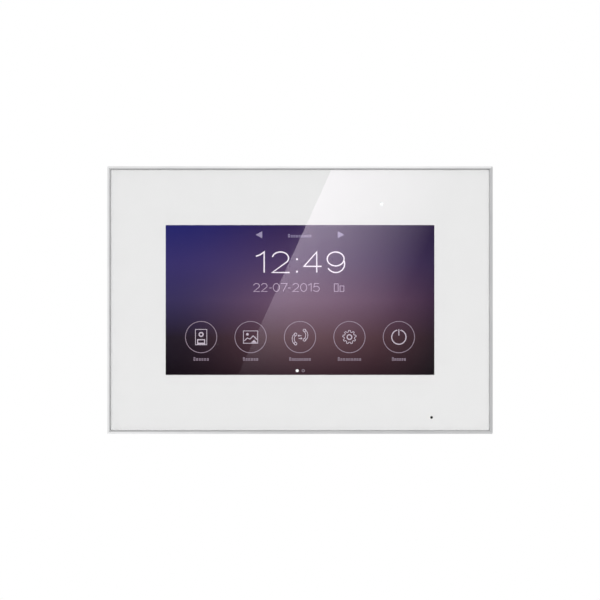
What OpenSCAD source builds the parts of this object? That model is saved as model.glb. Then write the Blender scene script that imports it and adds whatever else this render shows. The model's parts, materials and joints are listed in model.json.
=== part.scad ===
// Wall-mounted 7-inch video intercom monitor on its steel wall plate.
// The wall is the plane y = 0, the glass faces -Y and +Z is up.
// "near" and "far" are distances from the wall, measured towards the viewer.

/* [Front] */
// Width over the trim
body_w = 221; // [219:0.5:230]
// Height over the trim
body_h = 153.5; // [152:0.5:160]
// Distance from the wall to the front edge of the trim
body_d = 22; // [22:0.5:25]
// Width of the trim band seen from the front
trim_w = 1.8; // [1.2:0.1:2.4]
// Gap between the trim and the glass
trim_gap = 0.25; // [0.2:0.05:0.6]
// Corner radius of the trim
trim_r = 0.6; // [0.5:0.1:2]
// Depth of the trim band
trim_d = 9; // [8.5:0.5:10]
// Height of the trim above the glass
trim_proud = 0.3; // [0.1:0.1:0.6]
// Thickness of the front glass
glass_t = 2; // [1.5:0.1:2.2]

/* [Display] */
// Width of the visible picture
picture_w = 154.2; // [150:0.2:156]
// Height of the visible picture
picture_h = 86; // [82:0.2:88]
// Width of the display module
lcd_w = 165; // [164:0.5:166]
// Height of the display module
lcd_h = 100; // [99.5:0.5:100.5]
// Thickness of the display module
lcd_d = 5; // [5:0.1:5.3]

/* [Sound and light] */
// Microphone hole, distance right of centre
mic_x = 75.5; // [70:0.5:80]
// Microphone hole, distance above centre
mic_z = -67.4; // [-67.6:0.1:-66]
// Radius of the microphone hole in the glass
mic_hole_r = 0.62; // [0.5:0.01:0.8]
// Status light, distance right of centre
light_x = 46.8; // [30:0.1:80]
// Status light, distance above centre
light_z = 55.2; // [55.1:0.1:57]
// Speaker, distance right of centre
speaker_x = -75; // [-76:0.5:-74]

/* [Wall plate] */
// Width of the wall plate
plate_w = 112; // [112:1:116]
// Height of the wall plate
plate_h = 108; // [106:1:110]
// Thickness of the wall plate's steel
plate_t = 1.2; // [1:0.1:1.5]
// Spacing of the wall screw holes across
screw_dx = 100; // [98:1:100]
// Spacing of the wall screw holes up
screw_dz = 96; // [94:1:98]
// Radius of the wall screw holes
screw_hole_r = 2.25; // [2:0.05:2.5]
// Spacing of the two wall box screw holes
box_dx = 60; // [60:0.5:61]
// Radius of the wall box screw holes
box_hole_r = 2.1; // [1.9:0.05:2.3]
// Travel of the monitor up the hooks
lift = 6; // [5:0.1:6]

/* [Hidden] */
$fn = 48;

// Distances from the wall, front to back
glass_far = body_d - trim_proud;
glass_near = glass_far - glass_t;
film_near = glass_near - 0.1;
housing_far = film_near - 0.3;
touch_near = film_near - 0.65;
lcd_far = touch_near - 0.75;
lcd_near = lcd_far - lcd_d;
board_far = lcd_near - 1.2;
board_near = board_far - 1.6;
housing_wall = 2;
housing_inner = housing_far - housing_wall;
split = body_d - 7;
flange_near = body_d - trim_d;
rim_near = 0.6;
rim_far = 2.6;
recess_near = 3;
recess_far = 5;
tube_far = 9;

// Outlines seen from the front
housing_w = body_w - 2 * trim_w - 0.2;
housing_h = body_h - 2 * trim_w - 0.2;
glass_w = body_w - 2 * (trim_w + trim_gap);
glass_h = body_h - 2 * (trim_w + trim_gap);
cover_w = body_w - 6;
cover_h = body_h - 6;
cover_wall = 2.2;
recess_w = cover_w - 25;
recess_h = cover_h - 23.5;
recess_wall = 2;
well_w = lcd_w + 2;
well_h = lcd_h + 3;
well_wall = 1.5;

// Screw places
cover_tube_r = 4;
cover_places = [
    for (x = [-1, 0, 1], z = [-1, 1]) [x * (cover_w / 2 - 6), z * (cover_h / 2 - 5.75)]
];
board_x0 = -48;
board_x1 = cover_w / 2 - cover_wall - 0.5;
board_h = 120;
board_places = [for (x = [board_x0 + 6, board_x1 - 6.8], z = [-56, 56]) [x, z]];
clamp_x = -lcd_w / 2 - 7.5;
clamp_places = [[clamp_x, -30], [clamp_x, 30]];
screw_r = 1.45;
pilot_r = 1.5;

// Hooks of the wall plate, and the slots that they hold
hook_w = 10;
hook_x = 43;
hook_lip_near = 5.6;
hook_lip_far = 6.8;
hook_lip_h = 5.8;
hook_places = [for (x = [-hook_x, hook_x], z = [-40, 30]) [x, z]];
hook_slot_top = plate_t + 0.05;
hook_slot_h = lift + plate_t + 0.2;

// Stiffening beads pressed into the plate: length, and place above centre
bead_w = 5;
bead_d = 0.6;
beads = [[100, -22], [56, 41]];

// Leads come out of the wall through the plate and into the sockets
cable_w = 48;
cable_h = 26;
cable_z = 17;
bay_w = 46;
bay_h = 26;
bay_z = 16;
bay_rib = 0.8;
door_places = [for (x = [-12.5, 2.5], z = [-6, 6]) [x, bay_z + z]];
power_place = [17, bay_z];
socket_near = 5.4;
socket_floor = 1;

// Blank label in its shallow pocket
label_place = [76, -10];
label_w = 34;
label_h = 22;

// Memory card and power switch, at the right edge of the board
card_z = 5;
card_l = 15;
card_w = 11;
card_near = board_near - 1.4;
card_t = 0.8;
card_x1 = cover_w / 2 - 0.2;
knob_z = -23;
knob_travel = 2;
knob_near = 7.9;
knob_far = 9.5;

// Speaker
speaker_r = 20;
speaker_screw_r = 22.5;
speaker_places = [
    for (a = [45:90:315]) [speaker_x + speaker_screw_r * cos(a), speaker_screw_r * sin(a)]
];

// Flexible tails
tail_t = 0.25;
touch_tail_x = 20;
touch_tail_w = 14;
lcd_tail_x = -20;
lcd_tail_w = 24;
tail_z = -lcd_h / 2 - 2.6;
tail_socket_z = -47.8;
tail_socket_h = 4.4;

// Cut-outs reach this far past the faces that they open
past = 1;

// ---------- shared shapes ----------

// Gives an x-z outline its depth between two distances from the wall
module slab(near, far) {
    translate([0, -near, 0]) rotate([90, 0, 0]) linear_extrude(far - near) children();
}

module rounded_rect(w, h, r) {
    square([w - 2 * r, h], center = true);
    square([w, h - 2 * r], center = true);
    for (x = [-1, 1], z = [-1, 1]) translate([x * (w / 2 - r), z * (h / 2 - r)]) circle(r);
}

module ring_2d(w, h, r, wall) {
    difference() {
        rounded_rect(w, h, r);
        rounded_rect(w - 2 * wall, h - 2 * wall, max(r - wall, 0.2));
    }
}

// A slot with round ends, upright, centred on the origin
module slot_2d(w, h) {
    square([w, h - w], center = true);
    for (z = [-1, 1]) translate([0, z * (h - w) / 2]) circle(w / 2);
}

module block(place, w, h, near, far) {
    translate([place[0] - w / 2, -far, place[1] - h / 2]) cube([w, far - near, h]);
}

module peg(place, r, near, far) {
    slab(near, far) translate(place) circle(r);
}

// A self-tapping screw: its head lies nearer the wall than its shank
module screw(place, head_r, head_near, head_far, tip) {
    difference() {
        peg(place, head_r, head_near, head_far);
        for (a = [0, 90])
            translate([place[0], -head_near, place[1]]) rotate([0, a, 0])
                cube([head_r, 1.6, 0.7], center = true);
    }
    peg(place, screw_r, head_far, tip);
}

// Turns an outline, given as radius and distance from the wall, round the speaker's axis
module turned(x) {
    translate([x, 0, 0]) rotate([90, 0, 0]) rotate_extrude($fn = 72) children();
}

// ---------- a lead swept along its points ----------

lead_sides = 8;
lead_steps = 4;

function curve(a, b, c, d, t) =
    0.5 * ((2 * b) + (c - a) * t + (2 * a - 5 * b + 4 * c - d) * t * t + (3 * b - a - 3 * c + d) * t * t * t);

function smooth(p) = [
    for (i = [0:len(p) - 2], s = [0:lead_steps - 1])
        curve(p[max(i - 1, 0)], p[i], p[i + 1], p[min(i + 2, len(p) - 1)], s / lead_steps),
    p[len(p) - 1]
];

function unit(v) = v / norm(v);

function heading(p, i) = unit(p[min(i + 1, len(p) - 1)] - p[max(i - 1, 0)]);

// The rings stay square to the route; the sideways vector comes from the x axis
function ring(p, i, r) =
    let (t = heading(p, i), side = unit(cross(t, [0.2, 0.1, 1])), up = cross(side, t))
    [for (k = [0:lead_sides - 1])
        p[i] + r * (cos(360 * k / lead_sides) * side + sin(360 * k / lead_sides) * up)];

module lead(route, r) {
    path = smooth(route);
    last = len(path) - 1;
    points = [for (i = [0:last]) each ring(path, i, r)];
    n = lead_sides;
    faces = [
        [for (k = [0:n - 1]) k],
        for (i = [0:last - 1], k = [0:n - 1])
            [i * n + k, (i + 1) * n + k, (i + 1) * n + (k + 1) % n, i * n + (k + 1) % n],
        [for (k = [n - 1:-1:0]) last * n + k]
    ];
    polyhedron(points, faces);
}

// ---------- wall plate ----------

module beads_2d() {
    for (b = beads) translate([0, b[1]]) rotate(90) slot_2d(bead_w, b[0]);
}

module wall_plate() {
    color("silver") {
        slab(0, plate_t) difference() {
            plate_outline_2d();
            beads_2d();
        }
        slab(bead_d, plate_t + bead_d) beads_2d();
        for (p = hook_places) {
            block([p[0], p[1] + plate_t / 2], hook_w, plate_t, plate_t / 2, hook_lip_far);
            block([p[0], p[1] + hook_lip_h / 2], hook_w, hook_lip_h, hook_lip_near, hook_lip_far);
        }
    }
}

module plate_outline_2d() {
    difference() {
        rounded_rect(plate_w, plate_h, 4);
        translate([0, cable_z]) rounded_rect(cable_w, cable_h, 3);
        for (x = [-1, 1], z = [-1, 1]) translate([x * screw_dx / 2, z * screw_dz / 2]) circle(screw_hole_r);
        for (x = [-1, 1]) translate([x * box_dx / 2, 0]) circle(box_hole_r);
        for (p = hook_places) translate([p[0], p[1] + plate_t + hook_w / 2 + 1])
            square([hook_w + 1, hook_w + 2], center = true);
    }
}

// ---------- front ----------

module trim_frame() {
    chamfer = 0.9;
    color("gainsboro") difference() {
        slab(flange_near, body_d) ring_2d(body_w, body_h, trim_r, trim_w);
        for (s = [-1, 1]) {
            translate([s * body_w / 2, -body_d, 0]) rotate([0, 0, 45])
                cube([chamfer * sqrt(2), chamfer * sqrt(2), body_h * 2], center = true);
            translate([0, -body_d, s * body_h / 2]) rotate([45, 0, 0])
                cube([body_w * 2, chamfer * sqrt(2), chamfer * sqrt(2)], center = true);
        }
    }
}

module front_glass() {
    color([0.85, 0.92, 0.9, 0.4]) slab(glass_near, glass_far) difference() {
        rounded_rect(glass_w, glass_h, 0.5);
        translate([mic_x, mic_z]) circle(mic_hole_r);
    }
}

module mask_film() {
    color("whitesmoke") slab(film_near, glass_near) difference() {
        rounded_rect(glass_w, glass_h, 0.5);
        rounded_rect(picture_w, picture_h, 0.3);
        translate([mic_x, mic_z]) circle(mic_hole_r + 0.15);
        translate([light_x, light_z]) circle(0.9);
    }
}

module glass_adhesive() {
    color("dimgray") slab(housing_far, film_near) difference() {
        rounded_rect(glass_w - 2, glass_h - 2, 0.5);
        rounded_rect(well_w + 1, well_h + 1.5, 1);
        translate([mic_x, mic_z]) circle(2);
        translate([light_x, light_z]) circle(1.6);
    }
}

module front_housing() {
    boss_r = 3.5;
    mic_ring_r = 5;
    color("white") difference() {
        union() {
            slab(housing_inner, housing_far) rounded_rect(housing_w, housing_h, 0.5);
            slab(split, housing_inner) ring_2d(housing_w, housing_h, 0.5, housing_wall);
            slab(lcd_near + 0.2, housing_inner)
                ring_2d(well_w + 2 * well_wall, well_h + 2 * well_wall, 1.5, well_wall);
            for (p = cover_places) peg(p, boss_r, tube_far + 0.2, housing_inner);
            for (p = board_places) peg(p, 2.8, board_far, housing_inner);
            for (p = clamp_places) peg(p, 3, lcd_near, housing_inner);
            peg([mic_x, mic_z], mic_ring_r, split + 0.1, housing_inner);
            for (z = [-30, 30]) {
                block([well_w / 2 + 0.75, z], 3.5, 8, lcd_near - 0.8, lcd_near + 0.3);
                block([lcd_w / 2 + 0.4, z], 2.6, 8, lcd_near - 0.8, lcd_near);
            }
        }
        slab(lcd_near + 0.1, housing_far + past) rounded_rect(well_w, well_h, 0.8);
        block([touch_tail_x, tail_z + 0.1], touch_tail_w + 2, 2.4, lcd_near, housing_far + past);
        for (p = concat(cover_places, board_places, clamp_places))
            peg(p, pilot_r, tube_far, housing_inner - 0.3);
        peg([mic_x, mic_z], 4.05, split - past, housing_inner);
        peg([mic_x, mic_z], 1, housing_inner - past, housing_far + past);
        peg([light_x, light_z], 1.3, housing_inner - past, housing_far + past);
    }
}

// ---------- rear cover ----------

// The recess takes the wall plate; its lower notch lets the sound out below
module recess_2d(grow) {
    rounded_rect(recess_w + 2 * grow, recess_h + 2 * grow, 3 + grow);
    notch_w = 2 * speaker_r;
    translate([speaker_x - notch_w / 2 - grow, -cover_h / 2 - past])
        square([notch_w + 2 * grow, cover_h / 2]);
}

module speaker_grille_2d() {
    pitch = 3.6;
    for (i = [-4:4]) translate([speaker_x + i * pitch, 0])
        slot_2d(1.8, 2 * sqrt(pow(speaker_r - 4.2, 2) - pow(i * pitch, 2)));
}

module vents() {
    for (i = [0:14], s = [-1, 1])
        block([28 + i * 4.5, s * (cover_h - cover_wall) / 2], 2, cover_wall + 2 * past, 6, 11.5);
}

module rear_cover() {
    outer_x = cover_w / 2;
    color("white") difference() {
        union() {
            slab(rim_near, split) ring_2d(cover_w, cover_h, 3, cover_wall);
            slab(flange_near, split) difference() {
                rounded_rect(housing_w, housing_h, 0.8);
                rounded_rect(cover_w - 2 * cover_wall, cover_h - 2 * cover_wall, 0.8);
            }
            slab(rim_near, rim_far) rounded_rect(cover_w, cover_h, 3);
            slab(rim_near, recess_far) intersection() {
                recess_2d(recess_wall);
                rounded_rect(cover_w, cover_h, 3);
            }
            for (p = cover_places) peg(p, cover_tube_r, rim_near, tube_far);
            for (p = speaker_places) peg(p, 2.3, recess_near, 6.4);
        }
        slab(recess_near - past, recess_near + 0.2) translate(label_place)
            rounded_rect(label_w + 1, label_h + 1, 1.5);
        slab(rim_near - past, recess_near) difference() {
            recess_2d(0);
            translate([0, bay_z]) rounded_rect(bay_w + 4, bay_h + 4, 3);
        }
        slab(rim_near - past, recess_near - bay_rib) translate([0, bay_z])
            rounded_rect(bay_w + 5, bay_h + 5, 3);
        for (p = cover_places) {
            peg(p, 3.1, rim_near - past, 4);
            peg(p, 1.7, 3, tube_far + past);
        }
        for (p = speaker_places) peg(p, 1, 4.2, 7);
        for (p = hook_places)
            block([p[0], p[1] + hook_slot_top - hook_slot_h / 2], hook_w + 2, hook_slot_h, 2, 6);
        slab(2, 6) translate([0, bay_z]) rounded_rect(bay_w, bay_h, 2);
        slab(2, 6) speaker_grille_2d();
        vents();
        block([outer_x, card_z], 6, card_w + 1.4, card_near - 0.4, card_near + card_t + 0.4);
        block([outer_x, card_z], 2, 18, card_near - 2, card_near + card_t + 2);
        block([outer_x, knob_z + knob_travel / 2], 6, 5, knob_near - 0.2, knob_far + 0.2);
        block([outer_x, knob_z + knob_travel / 2], 1.6, 10, knob_near - 2, knob_far + 2);
    }
}

module cover_screws() {
    color("dimgray") for (p = cover_places) screw(p, 2.75, 2.2, 4, 15.5);
}

module wall_pads() {
    color("gray") for (x = [-1, 1], z = [-40, 40]) peg([x * (cover_w / 2 - 6), z], 3.5, 0.1, rim_near);
}

module rear_label() {
    color("white") slab(recess_near + 0.1, recess_near + 0.2) translate(label_place)
        rounded_rect(label_w, label_h, 1);
}

// ---------- display ----------

module touch_sensor() {
    color([0.8, 0.9, 0.95, 0.3]) slab(touch_near, film_near) rounded_rect(lcd_w, lcd_h, 1);
}

// A tail leaves its panel, passes the lower edge of the board and folds up into its socket
module tail(x, w, near, start_z, bend_z) {
    block([x, (start_z + bend_z) / 2], w, start_z - bend_z, near - tail_t, near);
    block([x, bend_z + tail_t / 2], w, tail_t, board_near - 1, near);
    block([x, (bend_z + tail_socket_z - tail_socket_h / 2) / 2], w,
        tail_socket_z - tail_socket_h / 2 - bend_z, board_near - 1, board_near - 1 + tail_t);
}

module touch_tail() {
    color("darkorange") tail(touch_tail_x, touch_tail_w, touch_near, -lcd_h / 2 + 0.8, tail_z);
}

module lcd_tail() {
    color("orange") tail(lcd_tail_x, lcd_tail_w, lcd_near - 0.05, -lcd_h / 2 + 6, tail_z + 0.4);
}

module lcd_gasket() {
    color("black") slab(lcd_far, touch_near) ring_2d(lcd_w - 3, lcd_h - 4, 1, 2.5);
}

module lcd_bezel() {
    color("lightgray") {
        slab(lcd_far - 0.3, lcd_far) difference() {
            rounded_rect(lcd_w, lcd_h, 0.8);
            rounded_rect(picture_w + 1.6, picture_h + 1.6, 0.4);
        }
        slab(lcd_near + 0.4, lcd_far) ring_2d(lcd_w, lcd_h, 0.8, 0.4);
    }
}

module lcd_cell() {
    color("midnightblue") slab(lcd_far - 1.6, lcd_far - 0.4) rounded_rect(lcd_w - 3.5, lcd_h - 3.5, 0.4);
}

module optical_films() {
    color("white") slab(lcd_far - 2.1, lcd_far - 1.7) rounded_rect(lcd_w - 4, lcd_h - 5, 0.6);
}

module light_guide() {
    color("lightcyan") slab(lcd_near + 0.7, lcd_near + 2.7) rounded_rect(lcd_w - 6, lcd_h - 6.4, 0.4);
}

module light_strip() {
    guide_edge = -(lcd_h - 6.4) / 2;
    color("lemonchiffon") {
        block([0, guide_edge - 1.3], 150, 0.6, lcd_near + 0.7, lcd_near + 2.7);
        for (i = [0:17]) block([(i - 8.5) * 8.4, guide_edge - 0.55], 3, 0.9, lcd_near + 1.2, lcd_near + 2.2);
    }
}

module lcd_back_plate() {
    color("silver") {
        slab(lcd_near, lcd_near + 0.4) rounded_rect(lcd_w, lcd_h, 0.8);
        slab(lcd_near + 0.4, lcd_near + 2.8) ring_2d(lcd_w - 1.2, lcd_h - 1.2, 0.6, 0.4);
    }
}

module lcd_clamps() {
    color("silver") for (p = clamp_places) difference() {
        block([p[0] + 3.5, p[1]], 15, 9, lcd_near - 1, lcd_near);
        peg(p, 1.7, lcd_near - 1 - past, lcd_near + past);
    }
}

module clamp_screws() {
    color("dimgray") for (p = clamp_places) screw(p, 2.6, lcd_near - 2.2, lcd_near - 1, 16.5);
}

// ---------- main board ----------

module main_board() {
    color("darkgreen") slab(board_near, board_far) difference() {
        translate([(board_x0 + board_x1) / 2, 0]) rounded_rect(board_x1 - board_x0, board_h, 2);
        for (p = board_places) translate(p) circle(1.7);
        for (t = [[touch_tail_x, touch_tail_w], [lcd_tail_x, lcd_tail_w]])
            translate([t[0], -board_h / 2]) square([t[1] + 4, 17], center = true);
    }
}

module board_screws() {
    color("dimgray") for (p = board_places) screw(p, 2.6, board_near - 1.5, board_near, 16.5);
}

// A chip with legs on two or four sides
module chip(place, w, h, t, legs_x, legs_z) {
    block(place, w, h, board_near - t, board_near - 0.1);
    for (s = [-1, 1]) {
        for (i = [0:1:legs_x - 1])
            block([place[0] + (i - (legs_x - 1) / 2) * (w - 1) / legs_x, place[1] + s * (h / 2 + 0.4)],
                0.35, 1, board_near - 0.5, board_near);
        for (i = [0:1:legs_z - 1])
            block([place[0] + s * (w / 2 + 0.4), place[1] + (i - (legs_z - 1) / 2) * (h - 1) / legs_z],
                1, 0.35, board_near - 0.5, board_near);
    }
}

module processor() {
    color("black") block([62, -8], 15, 15, board_near - 1.2, board_near);
}

module heat_spreader() {
    size = 24;
    base = board_near - 2.4;
    color("gray") {
        block([62, -8], 14, 14, base + 0.4, board_near - 1.2);
        block([62, -8], size, size, base - 0.8, base + 0.4);
        for (i = [-4:4]) block([62 + i * 2.8, -8], 1, size, base - 2.4, base - 0.8);
    }
}

module memory_chips() {
    color("black") {
        chip([62, 16], 18.4, 12, 1.1, 0, 18);
        chip([84, -14], 8, 12, 1.1, 0, 0);
        chip([60, -32], 5.3, 5.3, 1.8, 4, 0);
    }
}

module small_chips() {
    color("black") {
        chip([-12, -14], 12, 12, 1.4, 12, 12);
        chip([-36, -22], 4, 10, 1.6, 0, 8);
        chip([14, -34], 6, 6, 1, 6, 6);
        chip([30, 4], 5, 6, 1.5, 0, 4);
        chip([-34, 46], 4, 5, 1.5, 0, 4);
        chip([8, 46], 7, 7, 1, 7, 7);
    }
}

module capacitors() {
    can_h = 4.7;
    color("lightsteelblue") for (p = [[-33, 10], [-33, 1], [30, 40], [22, 40], [32, -16]]) {
        block(p, 6.6, 6.6, board_near - 0.8, board_near);
        peg(p, 3.15, board_near - can_h, board_near - 0.8);
    }
}

module inductors() {
    color("dimgray") for (p = [[20, -16], [20, -25], [-24, 42], [86, 14]]) {
        block(p, 7, 7, board_near - 3.2, board_near);
        peg(p, 2.2, board_near - 3.5, board_near - 3.2);
    }
}

module crystal() {
    color("silver") slab(board_near - 3.4, board_near) translate([78, -34]) rounded_rect(11, 4.6, 2.2);
}

// Rows of resistors and capacitors beside the chips they serve
module small_parts() {
    color("tan") {
        for (i = [0:9]) block([50 + i * 2.6, 4.5], 0.8, 1.6, board_near - 0.5, board_near);
        for (i = [0:7]) block([48.2, -14 + i * 2.4], 1.6, 0.8, board_near - 0.5, board_near);
        for (i = [0:11]) block([-26 + i * 2.4, -30], 0.8, 1.6, board_near - 0.6, board_near);
        for (i = [0:5]) block([-25, -18 + i * 2.4], 1.6, 0.8, board_near - 0.5, board_near);
        for (i = [0:8]) block([64 + i * 2.6, 46], 0.9, 1.7, board_near - 0.8, board_near);
        for (i = [0:6]) block([-4 + i * 2.6, 38], 0.8, 1.6, board_near - 0.5, board_near);
    }
}

battery_place = [84, 34];

module battery_holder() {
    color("black") difference() {
        peg(battery_place, 8, board_near - 4, board_near);
        peg(battery_place, 6.4, board_near - 4 - past, board_near - 1.2);
        block([battery_place[0] + 8, battery_place[1]], 8, 7, board_near - 4 - past, board_near - 1.2);
    }
}

module clock_battery() {
    color("silver") {
        peg(battery_place, 6.2, board_near - 3.2, board_near - 1.8);
        peg(battery_place, 5.4, board_near - 1.8, board_near - 1.2);
    }
}

// ---------- sockets ----------

// A shrouded header, open towards the wall, with one keying notch
module header(place, w, h) {
    difference() {
        block(place, w, h, socket_near, board_near);
        block(place, w - 1.8, h - 1.6, socket_near - past, board_near - socket_floor);
        block([place[0], place[1] + h / 2], 2.4, 3, socket_near - past, board_near - 2.6);
    }
}

module door_sockets() {
    color("ivory") for (p = door_places) header(p, 12.4, 5.8);
}

module power_socket() {
    color("ivory") header(power_place, 10, 8);
}

module socket_pins() {
    color("gold") {
        for (p = door_places, i = [-1.5:1:1.5])
            block([p[0] + i * 2.5, p[1]], 0.64, 0.64, socket_near + 0.5, board_near - socket_floor);
        for (i = [-1, 1])
            block([power_place[0] + i * 1.98, power_place[1]], 1.1, 1.1, socket_near + 0.5,
                board_near - socket_floor);
    }
}

module ribbon_sockets() {
    color("ivory") for (t = [[touch_tail_x, touch_tail_w], [lcd_tail_x, lcd_tail_w]]) {
        block([t[0], tail_socket_z], t[1] + 2.4, tail_socket_h, board_near - 1.3, board_near);
        block([t[0], tail_socket_z + 1.2], t[1] + 4, 1.4, board_near - 1.6, board_near - 1.3);
    }
}

speaker_socket = [-43.5, -6];
mic_socket = [mic_x, -55];

module lead_sockets() {
    color("ivory") {
        block(speaker_socket, 5, 7, board_near - 3.4, board_near);
        block(mic_socket, 7, 5, board_near - 3.4, board_near);
    }
}

module card_socket() {
    cage_x0 = card_x1 - card_l - 1.2;
    cage_w = board_x1 - 0.2 - cage_x0;
    color("silver") difference() {
        block([cage_x0 + cage_w / 2, card_z], cage_w, card_w + 3, card_near - 0.6, board_near);
        block([cage_x0 + cage_w / 2 + 1, card_z], cage_w, card_w + 0.4, card_near - 0.2, card_near + card_t + 0.2);
    }
}

module memory_card() {
    color("black") difference() {
        block([card_x1 - card_l / 2, card_z], card_l, card_w, card_near, card_near + card_t);
        block([card_x1 - card_l, card_z + card_w / 2], 12, 2.6, card_near - past, card_near + card_t + past);
    }
}

module switch_body() {
    body_x1 = board_x1 - 0.2;
    middle = knob_z + knob_travel / 2;
    color("dimgray") difference() {
        block([body_x1 - 3, middle], 6, 9.6, knob_near - 0.8, board_near);
        block([body_x1 - 2.1, middle], 2.2, 6.4, knob_near - 0.4, knob_far + 0.3);
        block([body_x1, middle], 2.4, 4.8, knob_near - 0.2, knob_far + 0.2);
    }
}

module switch_knob() {
    body_x1 = board_x1 - 0.2;
    color("white") {
        block([body_x1 - 2.1, knob_z], 1.7, 3.8, knob_near - 0.1, knob_far);
        block([body_x1 + 1.3, knob_z], 5.4, 2, knob_near, knob_far);
    }
}

// ---------- status light and microphone ----------

module status_led() {
    color("white") {
        block([light_x, light_z], 2, 1.25, board_far, board_far + 0.3);
        block([light_x, light_z], 1.4, 1.2, board_far + 0.3, board_far + 0.8);
    }
}

module light_pipe() {
    color("lightcyan") {
        peg([light_x, light_z], 1.2, board_far + 1, film_near - 0.05);
        peg([light_x, light_z], 1.9, housing_inner - 1, housing_inner);
    }
}

module microphone() {
    color("silver") difference() {
        peg([mic_x, mic_z], 3, housing_inner - 3.1, housing_inner - 0.4);
        peg([mic_x, mic_z], 0.5, housing_inner - 0.8, housing_inner);
    }
}

module microphone_boot() {
    color("black") difference() {
        peg([mic_x, mic_z], 3.95, housing_inner - 3.6, housing_inner);
        peg([mic_x, mic_z], 3.05, housing_inner - 3.6 - past, housing_inner - 0.4);
        peg([mic_x, mic_z], 1, housing_inner - past, housing_inner + past);
    }
}

module microphone_lead() {
    back = housing_inner - 3.1;
    for (s = [-1, 1]) color(s < 0 ? "firebrick" : "black") lead([
        [mic_x + s * 0.8, -back + 0.1, mic_z],
        [mic_x + s * 0.8, -back + 1.6, mic_z],
        [mic_x + s * 0.6, -10.5, mic_z + 1],
        [mic_x + s * 0.6, -8.6, mic_z + 4],
        [mic_x + s * 0.9, -8.4, mic_socket[1] - 2.6]
    ], 0.5);
}

// ---------- speaker ----------

module speaker_basket() {
    color("gray") turned(speaker_x) polygon([
        [18.4, 5.6], [speaker_r, 5.6], [speaker_r, 6.4], [19.2, 6.4], [13.2, 10.6], [9.65, 10.6],
        [9.65, 9.8], [12.8, 9.8], [18.4, 6.3]
    ]);
}

module speaker_magnet() {
    color("dimgray") turned(speaker_x) difference() {
        translate([0, 9.4]) square([9.5, 3.2]);
        translate([6.1, 9]) square([1.2, 3]);
    }
}

module speaker_coil() {
    color("peru") turned(speaker_x) translate([6.4, 8.4]) square([0.6, 3.2]);
}

module speaker_cone() {
    color("black") turned(speaker_x) polygon([[7, 8.7], [15.4, 6.2], [15.4, 5.85], [7, 8.35]]);
}

module speaker_cap() {
    color("black") turned(speaker_x) difference() {
        intersection() {
            translate([0, 14.6]) circle(8.4, $fn = 96);
            translate([0, 5]) square([6.9, 3.3]);
        }
        translate([0, 14.6]) circle(8.1, $fn = 96);
    }
}

module speaker_surround() {
    color("black") turned(speaker_x) {
        intersection() {
            difference() {
                translate([16.4, 6.2]) circle(1, $fn = 36);
                translate([16.4, 6.2]) circle(0.7, $fn = 36);
            }
            translate([15.4, 5]) square([2, 1.2]);
        }
        translate([17.3, 5.9]) square([1.08, 0.3]);
    }
}

module speaker_gasket() {
    color("black") turned(speaker_x) translate([18.6, recess_far]) square([1.4, 0.6]);
}

module speaker_screws() {
    color("dimgray") for (p = speaker_places) {
        peg(p, 3.2, 6.4, 7.4);
        peg(p, 0.95, 4.4, 6.4);
    }
}

module speaker_cloth() {
    color("black") slab(recess_far, recess_far + 0.1) translate([speaker_x, 0]) circle(18.4);
}

module speaker_lead() {
    for (s = [-1, 1]) color(s < 0 ? "firebrick" : "black") lead([
        [speaker_x + 12.4, -11.2, s * 0.7 - 4],
        [speaker_x + 14, -11.1, s * 0.7 - 4.2],
        [speaker_x + 20, -9.6, s * 0.7 - 5],
        [speaker_x + 25, -8.6, s * 0.8 - 5.8],
        [speaker_socket[0] - 2.6, -8.6, speaker_socket[1] + s * 1]
    ], 0.55);
}

// ---------- parts ----------

wall_plate();
trim_frame();
front_glass();
mask_film();
glass_adhesive();
front_housing();
rear_cover();
cover_screws();
wall_pads();
rear_label();
touch_sensor();
touch_tail();
lcd_gasket();
lcd_bezel();
lcd_cell();
optical_films();
light_guide();
light_strip();
lcd_back_plate();
lcd_tail();
lcd_clamps();
clamp_screws();
main_board();
board_screws();
processor();
heat_spreader();
memory_chips();
small_chips();
capacitors();
inductors();
crystal();
small_parts();
battery_holder();
clock_battery();
door_sockets();
power_socket();
socket_pins();
ribbon_sockets();
lead_sockets();
card_socket();
memory_card();
switch_body();
switch_knob();
status_led();
light_pipe();
microphone();
microphone_boot();
microphone_lead();
speaker_basket();
speaker_magnet();
speaker_coil();
speaker_cone();
speaker_cap();
speaker_surround();
speaker_gasket();
speaker_screws();
speaker_lead();
speaker_cloth();
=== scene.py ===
"""Looks of the wall-mounted video intercom monitor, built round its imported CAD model.

The frame is the CAD's own: the wall is the plane y = 0, the glass faces -Y and +Z is up.
Blender's lengths are metres, and a length in millimetres is multiplied by MM.
"""

import json
import math

import bmesh
import bpy
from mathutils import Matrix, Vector


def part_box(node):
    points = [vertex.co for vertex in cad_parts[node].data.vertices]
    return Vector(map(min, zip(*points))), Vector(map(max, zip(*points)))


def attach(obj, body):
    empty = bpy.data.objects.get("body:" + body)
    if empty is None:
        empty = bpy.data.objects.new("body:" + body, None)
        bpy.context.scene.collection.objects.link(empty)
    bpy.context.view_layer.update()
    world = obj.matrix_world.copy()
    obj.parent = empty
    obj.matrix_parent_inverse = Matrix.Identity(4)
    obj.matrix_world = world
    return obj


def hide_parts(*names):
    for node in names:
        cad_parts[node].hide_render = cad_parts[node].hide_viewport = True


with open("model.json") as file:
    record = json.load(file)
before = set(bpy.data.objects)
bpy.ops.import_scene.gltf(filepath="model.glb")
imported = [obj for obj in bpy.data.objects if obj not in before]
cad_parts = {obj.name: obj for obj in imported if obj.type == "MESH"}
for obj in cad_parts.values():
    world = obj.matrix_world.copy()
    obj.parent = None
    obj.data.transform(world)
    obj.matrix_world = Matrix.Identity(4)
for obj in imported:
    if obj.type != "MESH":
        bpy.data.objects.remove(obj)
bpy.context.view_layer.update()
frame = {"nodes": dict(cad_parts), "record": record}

MM = 0.001
NODES = frame["nodes"]


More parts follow.
